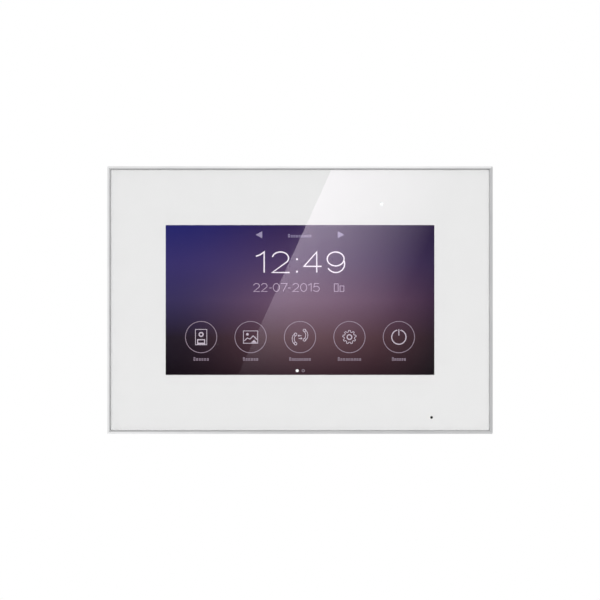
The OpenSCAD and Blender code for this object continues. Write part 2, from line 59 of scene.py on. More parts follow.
# ---------- short calls for node trees ----------

def linear(code):
    """The linear colour of a six-digit sRGB code, as a shader wants it."""
    shares = [int(code[i:i + 2], 16) / 255 for i in (0, 2, 4)]
    return [s / 12.92 if s <= 0.04045 else ((s + 0.055) / 1.055) ** 2.4 for s in shares] + [1]


def grey(level):
    return (level, level, level, 1)


class Tree:
    """A node tree, with short calls for the nodes that patterns are made of."""

    def __init__(self, tree, coordinate):
        self.tree = tree
        self.place = self.add("TexCoord").outputs[coordinate]

    def add(self, kind, settings=None, **values):
        """Adds a node. A value that is a socket is linked, and any other is the input's own."""
        made = self.tree.nodes.new("ShaderNode" + kind)
        for name, value in (settings or {}).items():
            setattr(made, name, value)
        return self.set(made, **values)

    def set(self, node, **values):
        for name, value in values.items():
            entry = node.inputs[int(name[1:]) if name[1:].isdigit() else name.replace("_", " ")]
            if isinstance(value, bpy.types.NodeSocket):
                self.tree.links.new(value, entry)
            else:
                entry.default_value = value
        return node

    def maths(self, operation, a, b=0.0):
        return self.add("Math", {"operation": operation}, _0=a, _1=b).outputs[0]

    def vary(self, value, low, high, start=0.0, end=1.0, curve="LINEAR"):
        """Carries a value that runs from start to end over to the range low to high."""
        made = self.add("MapRange", {"interpolation_type": curve}, Value=value)
        self.set(made, From_Min=start, From_Max=end, To_Min=low, To_Max=high)
        return made.outputs["Result"]

    def blend(self, share, a, b):
        """A colour that is a where the share is 0 and b where it is 1."""
        made = self.add("Mix", {"data_type": "RGBA"}, _0=share, _6=a, _7=b)
        return made.outputs[2]

    def choose(self, share, a, b):
        """As blend, for plain numbers."""
        return self.add("Mix", {"data_type": "FLOAT"}, _0=share, _2=a, _3=b).outputs[0]

    def ramp(self, value, *stops):
        """A colour that follows a value through stops of (value, colour)."""
        made = self.add("ValToRGB", Fac=value)
        marks = made.color_ramp.elements
        while len(marks) < len(stops):
            marks.new(0.5)
        for mark, (position, colour) in zip(marks, stops):
            mark.position = position
            mark.color = colour
        return made.outputs["Color"]

    def axis(self, name, centre=0.0):
        """Distance along one axis from a place, in metres."""
        return self.maths("SUBTRACT", self.add("SeparateXYZ", Vector=self.place).outputs[name], centre)

    def stretched(self, stretch):
        """The place that textures read, squeezed or drawn out along each axis."""
        if stretch == (1, 1, 1):
            return self.place
        return self.add("Mapping", Vector=self.place, Scale=stretch).outputs[0]

    def noise(self, size, detail=2.0, stretch=(1, 1, 1)):
        """Cloudy values from 0 to 1, whose clouds are this many millimetres across."""
        made = self.add("TexNoise", Vector=self.stretched(stretch), Scale=1 / (size * MM), Detail=detail)
        return made.outputs["Fac"]

    def cells(self, size, output="Distance", **settings):
        """Cells this many millimetres across: the distance to a cell's middle, or its own colour."""
        made = self.add("TexVoronoi", settings, Vector=self.place, Scale=1 / (size * MM))
        return made.outputs[output]

    def bands(self, axis, pitch):
        """A sine from 0 to 1 that repeats at this pitch in millimetres."""
        turns = self.maths("MULTIPLY", self.axis(axis), 2 * math.pi / (pitch * MM))
        return self.vary(self.maths("SINE", turns), 0, 1, start=-1)

    def rings(self, centre, pitch):
        """As bands, round an axis along Y through a point."""
        across = self.add("CombineXYZ", X=self.axis("X", centre.x), Z=self.axis("Z", centre.z)).outputs[0]
        radius = self.add("VectorMath", {"operation": "LENGTH"}, _0=across).outputs["Value"]
        turns = self.maths("MULTIPLY", radius, 2 * math.pi / (pitch * MM))
        return self.vary(self.maths("SINE", turns), 0, 1, start=-1)

    def above(self, value, limit, soft=0.02):
        """0 below a limit and 1 above it, with a narrow soft edge."""
        return self.vary(value, 0, 1, start=limit - soft, end=limit + soft)


class Finish(Tree):
    """A material: one Principled shader, with its constants on its own sockets."""

    def __init__(self, name, **constants):
        self.material = bpy.data.materials.new(name)
        self.material.use_nodes = True
        super().__init__(self.material.node_tree, "Object")
        self.shader = self.tree.nodes["Principled BSDF"]
        self.normal = None
        self.set(self.shader, **constants)

    def colour(self, socket):
        return self.set(self.shader, Base_Color=socket)

    def rough(self, value, low, high):
        return self.set(self.shader, Roughness=self.vary(value, low, high))

    def bump(self, height, depth):
        """Raises the surface by up to depth, in millimetres, on top of the bumps given before."""
        made = self.add("Bump", Height=height, Distance=depth * MM)
        if self.normal is not None:
            self.set(made, Normal=self.normal)
        self.normal = made.outputs[0]
        self.set(self.shader, Normal=self.normal)


# ---------- families of materials ----------

def moulded(name, dark, light, rough, grain=0.3, depth=0.006):
    """Moulded plastic: spark-eroded grain, faint flow marks and patches of sheen."""
    f = Finish(name)
    flow = f.noise(26, 3, (1, 1, 2.5))
    f.colour(f.blend(flow, linear(dark), linear(light)))
    f.rough(f.noise(5, 3), rough - 0.07, rough + 0.07)
    f.bump(f.noise(grain, 2), depth)
    return f


def sheet_metal(name, dark, light, rough, grain, stretch=(0.06, 1, 1)):
    """Rolled or brushed metal: fine lines along one direction over cloudy tone."""
    f = Finish(name, Metallic=1.0)
    lines = f.noise(grain, 4, stretch)
    cloud = f.noise(12, 3)
    tone = f.maths("ADD", f.maths("MULTIPLY", lines, 0.5), f.maths("MULTIPLY", cloud, 0.5))
    f.colour(f.blend(tone, linear(dark), linear(light)))
    f.rough(tone, rough - 0.1, rough + 0.1)
    f.bump(lines, 0.002)
    return f


def soft_solid(name, dark, light, pore, depth, rough=0.85):
    """Foam, rubber and tape: small pores over uneven tone."""
    f = Finish(name)
    pores = f.cells(pore)
    f.colour(f.blend(f.maths("MULTIPLY", pores, f.noise(6, 3)), linear(dark), linear(light)))
    f.rough(f.noise(2), rough - 0.08, rough + 0.08)
    f.bump(pores, depth)
    return f


def clear(name, tint, smudge):
    """A thin clear pane: it mirrors by Fresnel and lets the rest straight through."""
    f = Finish(name)
    f.tree.nodes.remove(f.shader)
    through = f.add("BsdfTransparent", Color=linear(tint))
    mirror = f.add("BsdfGlossy", Color=grey(1), Roughness=f.vary(f.noise(18, 4), 0, smudge, start=0.55))
    facing = f.add("LayerWeight", Blend=0.5).outputs["Facing"]
    share = f.vary(f.maths("POWER", facing, 5.0), 0.043, 1.0)
    mixed = f.add("MixShader", _0=share, _1=through.outputs[0], _2=mirror.outputs[0])
    f.set(f.tree.nodes["Material Output"], Surface=mixed.outputs[0])
    return f


# ---------- materials, one for each slot of the record ----------

def plate_steel():
    """Galvanised sheet: zinc spangles of different tone, with rolling lines."""
    f = Finish("plate_steel", Metallic=1.0)
    spangle = f.add("SeparateColor", Color=f.cells(3.2, "Color")).outputs[0]
    lines = f.noise(0.3, 4, (1, 1, 0.05))
    tone = f.maths("ADD", f.maths("MULTIPLY", spangle, 0.5), f.maths("MULTIPLY", lines, 0.5))
    f.colour(f.blend(tone, linear("B4B8BB"), linear("CDD0D2")))
    f.rough(tone, 0.34, 0.5)
    f.bump(lines, 0.003)
    f.bump(f.noise(1.2, 4), 0.006)
    return f


def trim():
    """Satin anodised aluminium, blasted before it was anodised."""
    f = Finish("trim", Metallic=1.0)
    blast = f.noise(0.12, 3)
    f.colour(f.blend(f.noise(20, 2), linear("E6E7E8"), linear("F6F6F6")))
    f.rough(f.noise(3, 3), 0.3, 0.38)
    f.bump(blast, 0.0012)
    return f


def front_glass():
    return clear("front_glass", "FFFFFF", 0.01)


def touch_glass():
    return clear("touch_glass", "FFFFFF", 0.01)


def mask_white():
    """White enamel printed on the back of the glass, slightly mottled."""
    f = Finish("mask_white")
    f.colour(f.blend(f.noise(9, 4), linear("EDEDED"), linear("F1F1F1")))
    f.rough(f.noise(0.4, 2), 0.5, 0.7)
    f.bump(f.noise(0.2, 2), 0.001)
    return f


def adhesive():
    return soft_solid("adhesive", "4E4E50", "77777A", 0.35, 0.03)


def abs_white():
    return moulded("abs_white", "E4E5E4", "EFEFEE", rough=0.5, grain=0.28, depth=0.012)


def knob_white():
    return moulded("knob_white", "ECECEA", "F6F6F5", rough=0.35, grain=0.5, depth=0.004)


def screw_steel():
    """Zinc-plated screws with turning marks."""
    f = sheet_metal("screw_steel", "8E9092", "C2C4C6", rough=0.36, stretch=(1, 0.2, 1), grain=0.15)
    f.bump(f.noise(0.8, 3), 0.006)
    return f


def pad_rubber():
    return soft_solid("pad_rubber", "5B5D60", "7A7C80", 0.25, 0.02, rough=0.8)


def rubber_black():
    return soft_solid("rubber_black", "141416", "29292C", 0.2, 0.012, rough=0.7)


def foam_black():
    return soft_solid("foam_black", "0D0D0E", "26262A", 0.4, 0.08, rough=0.92)


def label_white():
    """Polyester label printed with plain rules and grey dashes in place of words."""
    f = Finish("label_white", Coat_Weight=0.25, Coat_Roughness=0.35)
    low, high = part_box("rear_label")
    across = f.vary(f.axis("X"), 1, 0, start=low.x, end=high.x)
    up = f.vary(f.axis("Z"), 0, 1, start=low.z, end=high.z)
    rows = f.maths("FRACT", f.maths("MULTIPLY", up, 9))
    words = f.add("TexNoise", {"noise_dimensions": "2D"}, Scale=1.0, Detail=1.0)
    row = f.maths("FLOOR", f.maths("MULTIPLY", up, 9))
    f.set(words, Vector=f.add("CombineXYZ", X=f.maths("MULTIPLY", across, 22), Y=row).outputs[0])
    ink = f.maths("MULTIPLY", f.above(rows, 0.3), f.above(f.maths("SUBTRACT", 1.0, rows), 0.35))
    ink = f.maths("MULTIPLY", ink, f.above(words.outputs["Fac"], 0.44))
    for part, margin in ((across, 0.07), (up, 0.11)):
        inside = f.maths("SUBTRACT", 0.5, f.maths("ABSOLUTE", f.maths("SUBTRACT", part, 0.5)))
        ink = f.maths("MULTIPLY", ink, f.above(inside, margin))
    paper = f.blend(f.noise(3, 3), linear("EFEFED"), linear("F8F8F6"))
    f.colour(f.blend(ink, paper, linear("6F7276")))
    f.rough(f.noise(1.5), 0.4, 0.55)
    f.bump(f.noise(0.3), 0.002)
    return f


def flex_circuit():
    """Amber polyimide with copper tracks along it."""
    f = Finish("flex_circuit", Coat_Weight=0.5, Coat_Roughness=0.2)
    tracks = f.above(f.bands("X", 0.8), 0.45, 0.1)
    amber = f.blend(f.noise(4, 3), linear("9C5A12"), linear("B87020"))
    f.colour(f.blend(tracks, amber, linear("7A3F10")))
    f.rough(f.noise(2), 0.3, 0.45)
    f.bump(tracks, 0.012)
    return f


def display_steel():
    return sheet_metal("display_steel", "A3A6A9", "CFD1D3", rough=0.32, grain=0.18)


def film_white():
    """Diffuser film: satin, with the fine grain that spreads the light."""
    f = moulded("film_white", "F2F2F0", "FAFAFA", rough=0.6, grain=0.08, depth=0.004)
    f.set(f.shader, Sheen_Weight=0.1)
    return f


def acrylic():
    """Clear acrylic, with white dots that send light forward. It glows with painted light, brighter at its
    front end than behind, though it is no lamp.
    """
    f = Finish("acrylic", Transmission_Weight=0.6, IOR=1.49, Emission_Strength=1.0)
    behind = f.above(f.axis("Y"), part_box("light_pipe")[0].y + 0.2 * MM, 0.1 * MM)
    # Painted glow: the acrylic gives its own light, stronger in its front end than further back
    f.set(f.shader, Emission_Color=f.blend(behind, grey(0.25), grey(0.05)))
    dots = f.above(f.maths("SUBTRACT", 1.0, f.cells(1.6)), 0.72, 0.05)
    f.colour(f.blend(dots, linear("EEF6F6"), linear("FFFFFF")))
    f.rough(dots, 0.08, 0.5)
    f.bump(dots, 0.01)
    return f


def strip_white():
    return moulded("strip_white", "E9E6D8", "F6F3E6", rough=0.4, grain=0.4)


def board_green():
    """Circuit board: tracks under the solder mask, tinned vias with painted shade in their bores, and a
    clear glossy mask.
    """
    f = Finish("board_green", Coat_Weight=0.6, Coat_Roughness=0.12, Specular_IOR_Level=0.4)
    routes = f.cells(7, "Distance", distance="CHEBYCHEV")
    lanes = f.maths("SINE", f.maths("MULTIPLY", routes, 44.0))
    tracks = f.above(lanes, 0.15, 0.1)
    reach = f.cells(3.4)
    via = f.maths("SUBTRACT", 1.0, f.above(reach, 0.1, 0.01))
    # Painted shade: the bore in each via's middle is coloured near-black, standing in for the shade down a
    # hole the mesh doesn't have
    bore_shade = f.maths("SUBTRACT", 1.0, f.above(reach, 0.045, 0.01))
    mask = f.blend(f.noise(14, 3), linear("0B3D22"), linear("0F4A29"))
    base = f.blend(tracks, mask, linear("1B6A3C"))
    base = f.blend(via, base, linear("B9B49A"))
    f.colour(f.blend(bore_shade, base, linear("0A0B0A")))
    f.set(f.shader, Metallic=via)
    f.rough(f.noise(2, 3), 0.28, 0.42)
    f.bump(tracks, 0.03)
    f.bump(via, 0.02)
    return f


def near_board(f, reach):
    """1 up to this many millimetres off the main board's face, and 0 beyond."""
    face = -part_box("main_board")[1].y
    return f.above(f.maths("MULTIPLY", f.axis("Y"), -1.0), face - reach * MM, 0.02 * MM)


def chip_black():
    """Black epoxy over tinned legs, which lie in the first half millimetre off the board."""
    f = Finish("chip_black")
    legs = near_board(f, 0.5)
    epoxy = f.blend(f.noise(1.4, 4), linear("17181A"), linear("26272A"))
    f.colour(f.blend(legs, epoxy, linear("BFC0BE")))
    f.set(f.shader, Metallic=legs)
    f.rough(f.noise(0.5, 3), 0.42, 0.6)
    f.bump(f.noise(0.12, 2), 0.004)
    return f


def spreader_aluminium():
    return sheet_metal("spreader_aluminium", "6F7276", "9EA1A5", rough=0.42, stretch=(1, 1, 0.05), grain=0.2)


def can_aluminium():
    """Capacitor cans on their black feet."""
    f = sheet_metal("can_aluminium", "B4B7BB", "DADCDE", rough=0.28, stretch=(1, 0.1, 1), grain=0.12)
    foot = near_board(f, 0.8)
    f.colour(f.blend(foot, f.blend(f.noise(1.5, 3), linear("B4B7BB"), linear("DADCDE")), linear("18181A")))
    f.set(f.shader, Metallic=f.maths("SUBTRACT", 1.0, foot))
    return f


def ferrite():
    return soft_solid("ferrite", "2B2C2F", "4A4B4F", 0.18, 0.01, rough=0.6)


def can_steel():
    return sheet_metal("can_steel", "B2B4B6", "D8D9DA", rough=0.26, stretch=(0.08, 1, 1), grain=0.14)


def ceramic_tan():
    """Resistors and capacitors: each its own tone, between tan and dark grey."""
    f = Finish("ceramic_tan")
    own = f.add("NewGeometry").outputs["Random Per Island"]
    tone = f.ramp(own, (0.0, linear("B08D62")), (0.45, linear("9A7850")), (0.55, linear("26272A")),
                  (1.0, linear("1B1C1E")))
    f.colour(f.blend(f.maths("MULTIPLY", f.noise(0.5, 3), 0.3), tone, linear("D8D5CC")))
    f.rough(f.noise(0.4), 0.35, 0.5)
    f.bump(f.noise(0.15), 0.003)
    return f


def socket_black():
    return moulded("socket_black", "19191B", "28282B", rough=0.42, grain=0.2, depth=0.006)


def socket_ivory():
    return moulded("socket_ivory", "DDD8C6", "EDE9DA", rough=0.38, grain=0.35)


def contact_brass():
    return sheet_metal("contact_brass", "C79A3C", "E8C468", rough=0.24, stretch=(1, 0.2, 1), grain=0.1)


def card_black():
    """Memory card: black case, a plain grey sticker and gilt contacts at its inner end."""
    f = moulded("card_black", "161618", "222225", rough=0.4, grain=0.2, depth=0.005)
    low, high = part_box("memory_card")
    along = f.vary(f.axis("X"), 0, 1, start=low.x, end=high.x)
    up = f.vary(f.axis("Z"), 0, 1, start=low.z, end=high.z)
    wall_side = f.above(f.axis("Y"), high.y - 0.1 * MM, 0.02 * MM)
    room_side = f.maths("SUBTRACT", 1.0, f.above(f.axis("Y"), low.y + 0.1 * MM, 0.02 * MM))
    middle = f.maths("ABSOLUTE", f.maths("SUBTRACT", up, 0.5))
    back = f.maths("SUBTRACT", 1.0, along)
    sticker = f.maths("MULTIPLY", f.above(along, 0.42), f.above(f.maths("SUBTRACT", 0.5, middle), 0.08))
    sticker = f.maths("MULTIPLY", f.maths("MULTIPLY", sticker, room_side), f.above(back, 0.07))
    contacts = f.maths("MULTIPLY", f.above(f.bands("Z", 1.1), 0.35, 0.1), f.above(along, 0.03))
    contacts = f.maths("MULTIPLY", f.maths("MULTIPLY", contacts, wall_side), f.above(back, 0.78))
    case = f.blend(f.noise(2, 3), linear("161618"), linear("242427"))
    f.colour(f.blend(contacts, f.blend(sticker, case, linear("8D9299")), linear("D9B45A")))
    f.set(f.shader, Metallic=contacts)
    return f


def led_white():
    """A lit white lamp chip behind its yellow phosphor."""
    f = moulded("led_white", "F4EFC8", "FFFBE6", rough=0.3, grain=0.3)
    f.set(f.shader, Emission_Color=linear("F4F7FF"), Emission_Strength=1.0)
    return f


def lead_pvc():
    """A pair of wires, one dark red and one black."""
    f = Finish("lead_pvc", Coat_Weight=0.2)
    own = f.add("NewGeometry").outputs["Random Per Island"]
    wires = f.ramp(own, (0.45, linear("8E1B16")), (0.55, linear("18181A")))
    f.colour(f.blend(f.maths("MULTIPLY", f.noise(1.5, 3), 0.2), wires, linear("555555")))
    f.rough(f.noise(1), 0.38, 0.5)
    f.bump(f.noise(0.5), 0.006)
    return f


def basket_steel():
    return sheet_metal("basket_steel", "55585C", "85888C", rough=0.4, stretch=(1, 1, 1), grain=0.3)


def magnet_dark():
    return soft_solid("magnet_dark", "26272A", "3F4145", 0.25, 0.012, rough=0.55)


def coil_copper():
    """Windings of enamelled wire, side by side along the speaker's axis, darker between the turns by painted
    shade in the grooves.
    """
    f = Finish("coil_copper", Metallic=1.0, Coat_Weight=0.6)
    turns = f.bands("Y", 0.16)
    # Painted shade: the copper's colour runs dark in the grooves between turns, on top of the bump of each
    # turn
    f.colour(f.blend(turns, linear("6E2F12"), linear("C4703A")))
    f.rough(f.noise(0.6), 0.22, 0.36)
    f.bump(turns, 0.03)
    return f


def cone_paper():
    """Black pressed paper with ribs round the speaker's axis."""
    f = Finish("cone_paper", Sheen_Weight=0.15)
    low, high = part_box("speaker_cone")
    fibres = f.noise(0.5, 5, (1, 0.3, 1))
    f.colour(f.blend(fibres, linear("1A1A1B"), linear("38383A")))
    f.rough(fibres, 0.75, 0.95)
    f.bump(f.rings((low + high) / 2, 2.1), 0.08)
    f.bump(fibres, 0.02)
    return f


def cloth_black():
    """Plain woven speaker cloth, darker between its threads by painted shade."""
    f = Finish("cloth_black", Sheen_Weight=0.3, Sheen_Roughness=0.5)
    warp, weft = f.bands("X", 0.42), f.bands("Z", 0.42)
    weave = f.maths("ADD", f.maths("MULTIPLY", warp, 0.5), f.maths("MULTIPLY", weft, 0.5))
    # Painted shade: the cloth's colour runs darker in the gaps between threads than on their crossings, on
    # top of the bump of the weave
    f.colour(f.blend(weave, linear("0C0C0D"), linear("303033")))
    f.rough(f.noise(0.6), 0.8, 0.95)
    f.bump(weave, 0.06)
    return f


# ---------- the picture ----------

PICTURE_W = 154.2
PICTURE_H = 86
PIXEL = 0.19
# What the panes in front of the display keep back, made up in the display's own light
PANE_LOSS = 1.19
# Colours of the evening sky, evenly spaced from the foot of the picture to its top: at the left edge, a
# little right of the middle and at the right edge
SKY_LEFT = ["140C14", "241C28", "383058", "383068", "242468"]
SKY_MIDDLE = ["342028", "583C44", "6C5068", "503C60", "342450"]
SKY_RIGHT = ["181418", "2C2028", "3C2840", "342848", "2C2040"]
SKY_MIDDLE_AT = 0.55


def pixels(f):
    """The fine grid of the display's picture elements."""
    grid = f.maths("MULTIPLY", f.bands("X", PIXEL), f.bands("Z", PIXEL))
    return f.vary(grid, 0.9, 1.1, end=0.5)


def lit(f, colour):
    """Makes the surface a dark glossy panel that glows with a colour."""
    light = f.add("VectorMath", {"operation": "SCALE"}, _0=colour, Scale=pixels(f)).outputs[0]
    f.set(f.shader, Base_Color=grey(0.004), Emission_Color=light, Emission_Strength=PANE_LOSS)
    f.rough(f.noise(12, 3), 0.03, 0.05)
    return f


def column(f, up, codes):
    """The sky's colours along one upright line, evenly spaced."""
    return f.ramp(up, *[(i / (len(codes) - 1), linear(code)) for i, code in enumerate(codes)])


def picture():
    """The display's wallpaper, an evening sky, with a black edge outside the lit area."""
    f = Finish("picture")
    across = f.vary(f.axis("X"), 0, 1, start=-PICTURE_W / 2 * MM, end=PICTURE_W / 2 * MM)
    up = f.vary(f.axis("Z"), 0, 1, start=-PICTURE_H / 2 * MM, end=PICTURE_H / 2 * MM)
    left, middle, right = (column(f, up, codes) for codes in (SKY_LEFT, SKY_MIDDLE, SKY_RIGHT))
    sky = f.blend(f.vary(across, 0, 1, end=SKY_MIDDLE_AT, curve="SMOOTHSTEP"), left, middle)
    sky = f.blend(f.maths("POWER", f.vary(across, 0, 1, start=SKY_MIDDLE_AT), 2.0), sky, right)
    for axis, size in (("X", PICTURE_W), ("Z", PICTURE_H)):
        beyond = f.above(f.maths("ABSOLUTE", f.axis(axis)), (size / 2 + 0.1) * MM, 0.05 * MM)
        sky = f.blend(beyond, sky, grey(0))
    return lit(f, sky)


def glow(name, code):
    """Bright marks of the menu."""
    f = Finish(name)
    return lit(f, linear(code)[:3])


# ---------- finer edges on the CAD nodes ----------

def merged(piece):
    """Joins the split corners of a CAD mesh, so that the modifiers after this see whole edges."""
    weld = piece.modifiers.new("merge", "WELD")
    weld.merge_threshold = 0.001 * MM
    flat = piece.modifiers.new("whole_faces", "DECIMATE")
    flat.decimate_type = "DISSOLVE"
    flat.angle_limit = math.radians(0.5)


def even_normals(piece):
    """Shades flat faces flat, whatever their size."""
    piece.modifiers.new("normals", "WEIGHTED_NORMAL").keep_sharp = True


def soften(piece, width):
    """Rounds a piece's edges by a width in millimetres."""
    merged(piece)
    bevel = piece.modifiers.new("edges", "BEVEL")
    bevel.width = width * MM
    bevel.segments = 2
    bevel.limit_method = "ANGLE"
    bevel.angle_limit = math.radians(35)
    bevel.use_clamp_overlap = False
    bevel.loop_slide = False
    even_normals(piece)


PANE_INSET = 0.02


def thin_pane(piece):
    """A pane with sharp edges, drawn in a little so that it shares no face with the next pane."""
    merged(piece)
    inset = piece.modifiers.new("inset", "DISPLACE")
    inset.strength = -PANE_INSET * MM
    inset.mid_level = 0
    piece.modifiers.new("sharp", "EDGE_SPLIT").split_angle = math.radians(30)
    even_normals(piece)


# Nodes by the width in millimetres of the rounding on their edges
ROUNDINGS = {
    0.3: ["front_housing", "switch_knob"],
    0.2: ["clock_battery"],
    0.15: ["wall_plate", "cover_screws", "wall_pads", "board_screws", "clamp_screws", "trim_frame",
           "battery_holder", "door_sockets", "power_socket", "microphone"],
    0.1: ["lcd_clamps", "crystal", "lead_sockets", "ribbon_sockets", "memory_card", "switch_body",
          "processor", "heat_spreader", "microphone_boot", "light_pipe", "socket_pins", "speaker_magnet",
          "inductors"],
    0.05: ["lcd_bezel", "lcd_back_plate", "main_board", "card_socket", "small_parts", "capacitors",
           "light_strip", "light_guide", "lcd_cell", "speaker_basket"],
    0.03: ["memory_chips", "small_chips"],
}


# One maker for each material slot of the record, under the slot's own name
MAKERS = [
    plate_steel, trim, front_glass, mask_white, adhesive, abs_white, screw_steel, pad_rubber, label_white,
    touch_glass, flex_circuit, foam_black, display_steel, picture, film_white, acrylic, strip_white,
    board_green, chip_black, spreader_aluminium, can_aluminium, ferrite, can_steel, ceramic_tan,
    socket_black, socket_ivory, contact_brass, card_black, knob_white, led_white, rubber_black, lead_pvc,
    basket_steel, magnet_dark, coil_copper, cone_paper, cloth_black,
]


def finish_nodes():
    """Gives each CAD node its material by its slot, and its rounded edges."""
    made = {maker.__name__: maker().material for maker in MAKERS}
    for part in frame["record"]["subparts"]:
        materials = NODES[part["node"]].data.materials
        materials.clear()
        materials.append(made[part["material_slot"]])
    for width, names in ROUNDINGS.items():
        for name in names:
            soften(NODES[name], width)


# ---------- the rear cover's rounded rim ----------

FLANGE = 1.1
COVER_CORNER = 3
RIM_ROUND = 1.2


def rear_shell():
    """The rear cover again, with the rim that stands off the wall rounded all along its outline."""
    low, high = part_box("rear_cover")
    rim = high.y
    straight = [(size - (FLANGE + COVER_CORNER) * MM) for size in (high.x, high.z)]

    def on_outline(place):
        beyond = [max(abs(at) - size, 0) for at, size in zip((place.x, place.z), straight)]
        return abs(place.y - rim) < 0.05 * MM and math.hypot(*beyond) > (COVER_CORNER - 0.05) * MM

    shell = bmesh.new()
    shell.from_mesh(NODES["rear_cover"].data)
    bmesh.ops.remove_doubles(shell, verts=shell.verts, dist=0.001 * MM)
    bmesh.ops.dissolve_limit(shell, angle_limit=math.radians(0.5), verts=shell.verts, edges=shell.edges)
    outline = [e for e in shell.edges if all(on_outline(v.co) for v in e.verts)]
    bmesh.ops.bevel(shell, geom=outline, offset=RIM_ROUND * MM, segments=5, profile=0.5, affect="EDGES")
    piece = as_piece("rear_cover_shell", shell, NODES["rear_cover"].data.materials[0])
    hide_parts("rear_cover")
    soften(piece, 0.2)


def as_piece(name, mesh, material):
    """Makes a piece of the monitor out of an edited mesh."""
    data = bpy.data.meshes.new(name)
    mesh.to_mesh(data)
    mesh.free()
    data.materials.append(material)
    piece = bpy.data.objects.new(name, data)
    bpy.context.scene.collection.objects.link(piece)
    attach(piece, "monitor")
    return piece


# ---------- the menu on the display ----------

def arc(x, z, across, up, start, end, steps=20):
    """Points of an ellipse about (x, z), from one angle in degrees to another; 90 is up."""
    turns = [math.radians(start + (end - start) * i / steps) for i in range(steps + 1)]
    return [(x + across * math.cos(a), z + up * math.sin(a)) for a in turns]


# Strokes of each digit in a box one unit wide and high; a stroke that ends where it starts is closed
DIGITS = {
    "0": [arc(0.5, 0.5, 0.5, 0.5, 0, 360)],
    "1": [[(0, 0.79), (0.5, 0.86), (1, 1), (1, 0)]],
    "2": [arc(0.48, 0.7, 0.46, 0.3, 170, -38) + [(0.02, 0), (1, 0)]],
    "4": [[(0.72, 0), (0.72, 1), (0, 0.3), (1, 0.3)]],
    "5": [[(0.92, 1), (0.2, 1), (0.1, 0.54)] + arc(0.48, 0.33, 0.5, 0.33, 125, -150)],
    "7": [[(0, 1), (1, 1), (0.36, 0)]],
    "9": [arc(0.49, 0.66, 0.48, 0.34, 0, 360), arc(0.5, 0.42, 0.5, 0.42, 20, -150)],
    "-": [[(0, 0.44), (1, 0.44)]],
}
NARROW = {"1": 0.4, "-": 0.3}


MARK_GAP = 0.01
MARK_HEIGHT = 0.03
# Each outline is raised this much more than the one before, so that tops that cross share no plane
MARK_STEP = 0.0004


class Marks:
    """Thin raised marks on the display's face, placed in millimetres from its middle."""

    def __init__(self, name, code):
        self.name = name
        self.material = glow(name, code).material
        self.mesh = bmesh.new()
        self.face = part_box("lcd_cell")[0].y - MARK_GAP * MM
        self.height = MARK_HEIGHT

    def ring_of(self, points):
        """The corners of an outline on the face, and raised off it."""
        self.height += MARK_STEP
        return [[self.mesh.verts.new((x * MM, self.face - lift * MM, z * MM)) for x, z in points]
                for lift in (0, self.height)]

    def patch(self, points):
        """A filled outline."""
        low, high = self.ring_of(points)
        self.mesh.faces.new(low)
        self.mesh.faces.new(high)
        for i in range(len(points)):
            self.mesh.faces.new((low[i - 1], low[i], high[i], high[i - 1]))

    def stroke(self, points, width):
        """A line of even width along points."""
        path = [Vector(p) for p in points]
        closed = (path[0] - path[-1]).length < 0.001
        if closed:
            path.pop()
        left, right = [], []
        for i, point in enumerate(path):
            ways = []
            if closed or i > 0:
                ways.append((point - path[i - 1]).normalized())
            if closed or i < len(path) - 1:
                ways.append((path[(i + 1) % len(path)] - point).normalized())
            along = sum(ways, Vector((0, 0))).normalized()
            reach = width / 2 / max(along.dot(ways[0]), 0.45)
            square = Vector((-along.y, along.x)) * reach
            left.append(point + square)
            right.append(point - square)
        (low_l, high_l), (low_r, high_r) = self.ring_of(left), self.ring_of(right)
        rails = (low_l, high_l, high_r, low_r)
        for i in range(0 if closed else 1, len(path)):
            for a, b in zip(rails, rails[1:] + rails[:1]):
                self.mesh.faces.new((a[i - 1], a[i], b[i], b[i - 1]))
        if not closed:
            for end in (0, -1):
                self.mesh.faces.new([rail[end] for rail in rails])

    def dot(self, x, z, radius):
        """A filled disc."""
        self.patch(arc(x, z, radius, radius, 0, 345, 23))

    def ring(self, x, z, radius, width):
        """A circle drawn with a line."""
        self.stroke(arc(x, z, radius, radius, 0, 360, 64), width)

    def box(self, x, z, across, up, width):
        """An upright rectangle drawn with a line."""
        corners = [(x - across / 2, z - up / 2), (x + across / 2, z - up / 2), (x + across / 2, z + up / 2),
                   (x - across / 2, z + up / 2)]
        self.stroke(corners + corners[:1], width)

    def digits(self, places, bottom, height, wide, width):
        """Digits with their left edges at given places."""
        for digit, left in places:
            across = height * NARROW.get(digit, wide)
            for stroke in DIGITS[digit]:
                self.stroke([(left + x * across, bottom + z * height) for x, z in stroke], width)

    def greeked(self, x, z, across, height, width):
        """A row of plain boxes that stands for a word."""
        pitch = 0.78 * height
        count = round(across / pitch)
        for i in range(count):
            up = height if i == 0 else 0.72 * height
            at = x + (i - (count - 1) / 2) * across / count
            self.box(at, z + (up - height) / 2, 0.34 * height, up - width, width)

    def done(self):
        """Makes one piece of all the marks so far."""
        bmesh.ops.recalc_face_normals(self.mesh, faces=self.mesh.faces)
        as_piece(self.name, self.mesh, self.material)


CLOCK = [("1", -25.3), ("2", -16.1), ("4", 2.3), ("9", 15.5)]
DATE = [("2", -26.7), ("2", -22.3), ("-", -17.6), ("0", -15.4), ("7", -11.0), ("-", -6.8), ("2", -4.2),
        ("0", 0.3), ("1", 4.6), ("5", 7.6)]
BUTTON_PITCH = 28.4
BUTTON_Z = -21.3
BUTTON_R = 9.0
LABEL_Z = -33.9
LABEL_WIDTHS = [9.2, 9.2, 12.6, 13.8, 8.3]
LINE = 0.36
# Words are rows of boxes of this height and line
WORD_HEIGHT = 1.9
WORD_LINE = 0.3
DATE_Z = 4.9
ARROW_Z = 37.5
PAGES_Z = -40.6


